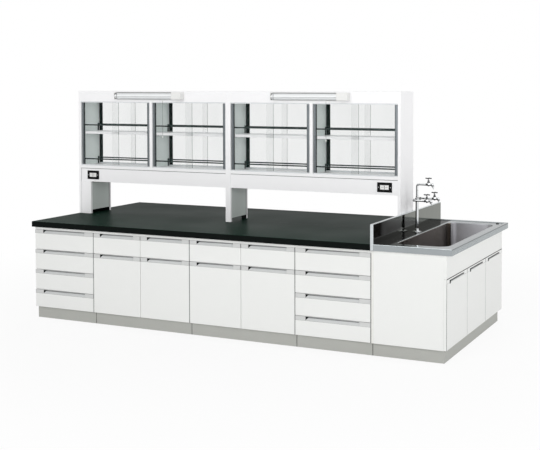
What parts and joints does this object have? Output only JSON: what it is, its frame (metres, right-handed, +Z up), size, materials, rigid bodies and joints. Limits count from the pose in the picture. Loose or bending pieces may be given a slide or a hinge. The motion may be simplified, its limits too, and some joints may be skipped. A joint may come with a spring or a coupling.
{
  "type": "laboratory island bench",
  "caption": "Double-sided laboratory island bench with drawers, cupboards, a black worktop, a glazed reagent rack with lamps, and a stainless sink end with a three-way faucet.",
  "frame": {"origin": "on the floor under the middle of the bench's overall length and depth", "axes": "+X along the bench towards the sink end, +Y across it from the lamp side to the rear side, +Z up"},
  "size_m": [3.6, 1.5, 1.866],
  "materials": {
    "white_board": "white melamine-faced board, satin",
    "front_white": "white melamine-faced board, satin, with a moulded line pull",
    "plinth_grey": "grey faced kickboard, matt",
    "worktop_black": "black chemical-resistant resin, satin",
    "stainless": "stainless sheet, fine brushed",
    "rail_metal": "polished steel bar on dark end brackets",
    "track_aluminium": "anodised aluminium, satin",
    "lamp_white": "white enamelled tray and milky diffuser",
    "outlet_black": "black plate with a white double socket",
    "faucet_chrome": "polished chrome plate",
    "pane_glass": "clear float glass with an aluminium stile",
    "cord_white": "braided pull cord with a moulded knob"
  },
  "bodies": {
    "bench": {"base_cabinets": "white_board", "plinth": "plinth_grey", "worktop": "worktop_black", "sink_top": "stainless", "rack_frame": "white_board", "guard_rails": "rail_metal", "glass_tracks": "track_aluminium", "lamps": "lamp_white", "outlets": "outlet_black", "faucet_body": "faucet_chrome"},
    "front_unit1_drawer1": {"front_unit1_drawer1": "front_white"},
    "front_unit1_drawer2": {"front_unit1_drawer2": "front_white"},
    "front_unit1_drawer3": {"front_unit1_drawer3": "front_white"},
    "front_unit1_drawer4": {"front_unit1_drawer4": "front_white"},
    "front_unit2_left_drawer": {"front_unit2_left_drawer": "front_white"},
    "front_unit2_left_door": {"front_unit2_left_door": "front_white"},
    "front_unit2_right_drawer": {"front_unit2_right_drawer": "front_white"},
    "front_unit2_right_door": {"front_unit2_right_door": "front_white"},
    "front_unit3_left_drawer": {"front_unit3_left_drawer": "front_white"},
    "front_unit3_left_door": {"front_unit3_left_door": "front_white"},
    "front_unit3_right_drawer": {"front_unit3_right_drawer": "front_white"},
    "front_unit3_right_door": {"front_unit3_right_door": "front_white"},
    "front_unit4_drawer1": {"front_unit4_drawer1": "front_white"},
    "front_unit4_drawer2": {"front_unit4_drawer2": "front_white"},
    "front_unit4_drawer3": {"front_unit4_drawer3": "front_white"},
    "front_unit4_drawer4": {"front_unit4_drawer4": "front_white"},
    "rear_unit1_drawer1": {"rear_unit1_drawer1": "front_white"},
    "rear_unit1_drawer2": {"rear_unit1_drawer2": "front_white"},
    "rear_unit1_drawer3": {"rear_unit1_drawer3": "front_white"},
    "rear_unit1_drawer4": {"rear_unit1_drawer4": "front_white"},
    "rear_unit2_left_drawer": {"rear_unit2_left_drawer": "front_white"},
    "rear_unit2_left_door": {"rear_unit2_left_door": "front_white"},
    "rear_unit2_right_drawer": {"rear_unit2_right_drawer": "front_white"},
    "rear_unit2_right_door": {"rear_unit2_right_door": "front_white"},
    "rear_unit3_left_drawer": {"rear_unit3_left_drawer": "front_white"},
    "rear_unit3_left_door": {"rear_unit3_left_door": "front_white"},
    "rear_unit3_right_drawer": {"rear_unit3_right_drawer": "front_white"},
    "rear_unit3_right_door": {"rear_unit3_right_door": "front_white"},
    "rear_unit4_drawer1": {"rear_unit4_drawer1": "front_white"},
    "rear_unit4_drawer2": {"rear_unit4_drawer2": "front_white"},
    "rear_unit4_drawer3": {"rear_unit4_drawer3": "front_white"},
    "rear_unit4_drawer4": {"rear_unit4_drawer4": "front_white"},
    "end_door1": {"end_door1": "front_white"},
    "end_door2": {"end_door2": "front_white"},
    "end_door3": {"end_door3": "front_white"},
    "glass_bay1_left": {"glass_bay1_left": "pane_glass"},
    "glass_bay1_right": {"glass_bay1_right": "pane_glass"},
    "glass_bay2_left": {"glass_bay2_left": "pane_glass"},
    "glass_bay2_right": {"glass_bay2_right": "pane_glass"},
    "glass_bay3_left": {"glass_bay3_left": "pane_glass"},
    "glass_bay3_right": {"glass_bay3_right": "pane_glass"},
    "glass_bay4_left": {"glass_bay4_left": "pane_glass"},
    "glass_bay4_right": {"glass_bay4_right": "pane_glass"},
    "rear_glass_left": {"rear_glass_left": "pane_glass"},
    "rear_glass_right": {"rear_glass_right": "pane_glass"},
    "valve_handle1": {"valve_handle1": "faucet_chrome"},
    "valve_handle2": {"valve_handle2": "faucet_chrome"},
    "valve_handle3": {"valve_handle3": "faucet_chrome"},
    "pull_cord1": {"pull_cord1": "cord_white"},
    "pull_cord2": {"pull_cord2": "cord_white"}
  },
  "joints": [
    {"name": "front_unit1_drawer1_slide", "type": "slide", "parent": "bench", "child": "front_unit1_drawer1", "axis": [0, -1, 0], "range_m": [0, 0.4]},
    {"name": "front_unit1_drawer2_slide", "type": "slide", "parent": "bench", "child": "front_unit1_drawer2", "axis": [0, -1, 0], "range_m": [0, 0.4]},
    {"name": "front_unit1_drawer3_slide", "type": "slide", "parent": "bench", "child": "front_unit1_drawer3", "axis": [0, -1, 0], "range_m": [0, 0.4]},
    {"name": "front_unit1_drawer4_slide", "type": "slide", "parent": "bench", "child": "front_unit1_drawer4", "axis": [0, -1, 0], "range_m": [0, 0.4]},
    {"name": "front_unit2_left_drawer_slide", "type": "slide", "parent": "bench", "child": "front_unit2_left_drawer", "axis": [0, -1, 0], "range_m": [0, 0.4]},
    {"name": "front_unit2_left_door_hinge", "type": "hinge", "parent": "bench", "child": "front_unit2_left_door", "pos_m": [-1.1985, -0.726, 0.33244], "axis": [0, 0, -1], "range_deg": [0, 90]},
    {"name": "front_unit2_right_drawer_slide", "type": "slide", "parent": "bench", "child": "front_unit2_right_drawer", "axis": [0, -1, 0], "range_m": [0, 0.4]},
    {"name": "front_unit2_right_door_hinge", "type": "hinge", "parent": "bench", "child": "front_unit2_right_door", "pos_m": [-0.3015, -0.726, 0.33244], "axis": [0, 0, 1], "range_deg": [0, 90]},
    {"name": "front_unit3_left_drawer_slide", "type": "slide", "parent": "bench", "child": "front_unit3_left_drawer", "axis": [0, -1, 0], "range_m": [0, 0.4]},
    {"name": "front_unit3_left_door_hinge", "type": "hinge", "parent": "bench", "child": "front_unit3_left_door", "pos_m": [-0.2985, -0.726, 0.33244], "axis": [0, 0, -1], "range_deg": [0, 90]},
    {"name": "front_unit3_right_drawer_slide", "type": "slide", "parent": "bench", "child": "front_unit3_right_drawer", "axis": [0, -1, 0], "range_m": [0, 0.4]},
    {"name": "front_unit3_right_door_hinge", "type": "hinge", "parent": "bench", "child": "front_unit3_right_door", "pos_m": [0.5985, -0.726, 0.33244], "axis": [0, 0, 1], "range_deg": [0, 90]},
    {"name": "front_unit4_drawer1_slide", "type": "slide", "parent": "bench", "child": "front_unit4_drawer1", "axis": [0, -1, 0], "range_m": [0, 0.4]},
    {"name": "front_unit4_drawer2_slide", "type": "slide", "parent": "bench", "child": "front_unit4_drawer2", "axis": [0, -1, 0], "range_m": [0, 0.4]},
    {"name": "front_unit4_drawer3_slide", "type": "slide", "parent": "bench", "child": "front_unit4_drawer3", "axis": [0, -1, 0], "range_m": [0, 0.4]},
    {"name": "front_unit4_drawer4_slide", "type": "slide", "parent": "bench", "child": "front_unit4_drawer4", "axis": [0, -1, 0], "range_m": [0, 0.4]},
    {"name": "rear_unit1_drawer1_slide", "type": "slide", "parent": "bench", "child": "rear_unit1_drawer1", "axis": [0, 1, 0], "range_m": [0, 0.4]},
    {"name": "rear_unit1_drawer2_slide", "type": "slide", "parent": "bench", "child": "rear_unit1_drawer2", "axis": [0, 1, 0], "range_m": [0, 0.4]},
    {"name": "rear_unit1_drawer3_slide", "type": "slide", "parent": "bench", "child": "rear_unit1_drawer3", "axis": [0, 1, 0], "range_m": [0, 0.4]},
    {"name": "rear_unit1_drawer4_slide", "type": "slide", "parent": "bench", "child": "rear_unit1_drawer4", "axis": [0, 1, 0], "range_m": [0, 0.4]},
    {"name": "rear_unit2_left_drawer_slide", "type": "slide", "parent": "bench", "child": "rear_unit2_left_drawer", "axis": [0, 1, 0], "range_m": [0, 0.4]},
    {"name": "rear_unit2_left_door_hinge", "type": "hinge", "parent": "bench", "child": "rear_unit2_left_door", "pos_m": [0.5985, 0.726, 0.33244], "axis": [0, 0, -1], "range_deg": [0, 90]},
    {"name": "rear_unit2_right_drawer_slide", "type": "slide", "parent": "bench", "child": "rear_unit2_right_drawer", "axis": [0, 1, 0], "range_m": [0, 0.4]},
    {"name": "rear_unit2_right_door_hinge", "type": "hinge", "parent": "bench", "child": "rear_unit2_right_door", "pos_m": [-0.2985, 0.726, 0.33244], "axis": [0, 0, 1], "range_deg": [0, 90]},
    {"name": "rear_unit3_left_drawer_slide", "type": "slide", "parent": "bench", "child": "rear_unit3_left_drawer", "axis": [0, 1, 0], "range_m": [0, 0.4]},
    {"name": "rear_unit3_left_door_hinge", "type": "hinge", "parent": "bench", "child": "rear_unit3_left_door", "pos_m": [-0.3015, 0.726, 0.33244], "axis": [0, 0, -1], "range_deg": [0, 90]},
    {"name": "rear_unit3_right_drawer_slide", "type": "slide", "parent": "bench", "child": "rear_unit3_right_drawer", "axis": [0, 1, 0], "range_m": [0, 0.4]},
    {"name": "rear_unit3_right_door_hinge", "type": "hinge", "parent": "bench", "child": "rear_unit3_right_door", "pos_m": [-1.1985, 0.726, 0.33244], "axis": [0, 0, 1], "range_deg": [0, 90]},
    {"name": "rear_unit4_drawer1_slide", "type": "slide", "parent": "bench", "child": "rear_unit4_drawer1", "axis": [0, 1, 0], "range_m": [0, 0.4]},
    {"name": "rear_unit4_drawer2_slide", "type": "slide", "parent": "bench", "child": "rear_unit4_drawer2", "axis": [0, 1, 0], "range_m": [0, 0.4]},
    {"name": "rear_unit4_drawer3_slide", "type": "slide", "parent": "bench", "child": "rear_unit4_drawer3", "axis": [0, 1, 0], "range_m": [0, 0.4]},
    {"name": "rear_unit4_drawer4_slide", "type": "slide", "parent": "bench", "child": "rear_unit4_drawer4", "axis": [0, 1, 0], "range_m": [0, 0.4]},
    {"name": "end_door1_hinge", "type": "hinge", "parent": "bench", "child": "end_door1", "pos_m": [1.755, -0.7245, 0.3425], "axis": [0, 0, -1], "range_deg": [0, 90]},
    {"name": "end_door2_hinge", "type": "hinge", "parent": "bench", "child": "end_door2", "pos_m": [1.755, 0.2405, 0.3425], "axis": [0, 0, 1], "range_deg": [0, 90]},
    {"name": "end_door3_hinge", "type": "hinge", "parent": "bench", "child": "end_door3", "pos_m": [1.755, 0.7245, 0.3425], "axis": [0, 0, 1], "range_deg": [0, 90]},
    {"name": "glass_bay1_left_slide", "type": "slide", "parent": "bench", "child": "glass_bay1_left", "axis": [1, 0, 0], "range_m": [0, 0.327]},
    {"name": "glass_bay1_right_slide", "type": "slide", "parent": "bench", "child": "glass_bay1_right", "axis": [-1, 0, 0], "range_m": [0, 0.327]},
    {"name": "glass_bay2_left_slide", "type": "slide", "parent": "bench", "child": "glass_bay2_left", "axis": [1, 0, 0], "range_m": [0, 0.327]},
    {"name": "glass_bay2_right_slide", "type": "slide", "parent": "bench", "child": "glass_bay2_right", "axis": [-1, 0, 0], "range_m": [0, 0.327]},
    {"name": "glass_bay3_left_slide", "type": "slide", "parent": "bench", "child": "glass_bay3_left", "axis": [1, 0, 0], "range_m": [0, 0.327]},
    {"name": "glass_bay3_right_slide", "type": "slide", "parent": "bench", "child": "glass_bay3_right", "axis": [-1, 0, 0], "range_m": [0, 0.327]},
    {"name": "glass_bay4_left_slide", "type": "slide", "parent": "bench", "child": "glass_bay4_left", "axis": [1, 0, 0], "range_m": [0, 0.327]},
    {"name": "glass_bay4_right_slide", "type": "slide", "parent": "bench", "child": "glass_bay4_right", "axis": [-1, 0, 0], "range_m": [0, 0.327]},
    {"name": "rear_glass_left_slide", "type": "slide", "parent": "bench", "child": "rear_glass_left", "axis": [1, 0, 0], "range_m": [0, 0.327]},
    {"name": "rear_glass_right_slide", "type": "slide", "parent": "bench", "child": "rear_glass_right", "axis": [-1, 0, 0], "range_m": [0, 0.327]},
    {"name": "valve_handle1_turn", "type": "hinge", "parent": "bench", "child": "valve_handle1", "pos_m": [1.392, -0.09, 1.078], "axis": [0, 0, 1], "range_deg": [0, 540]},
    {"name": "valve_handle2_turn", "type": "hinge", "parent": "bench", "child": "valve_handle2", "pos_m": [1.392, 0.09, 1.078], "axis": [0, 0, 1], "range_deg": [0, 540]},
    {"name": "valve_handle3_turn", "type": "hinge", "parent": "bench", "child": "valve_handle3", "pos_m": [1.374, 0, 1.194], "axis": [0, 0, 1], "range_deg": [0, 540]},
    {"name": "pull_cord1_pull", "type": "slide", "parent": "bench", "child": "pull_cord1", "axis": [0, 0, -1], "range_m": [0, 0.012], "stiffness_N_per_m": 200},
    {"name": "pull_cord2_pull", "type": "slide", "parent": "bench", "child": "pull_cord2", "axis": [0, 0, -1], "range_m": [0, 0.012], "stiffness_N_per_m": 200}
  ]
}
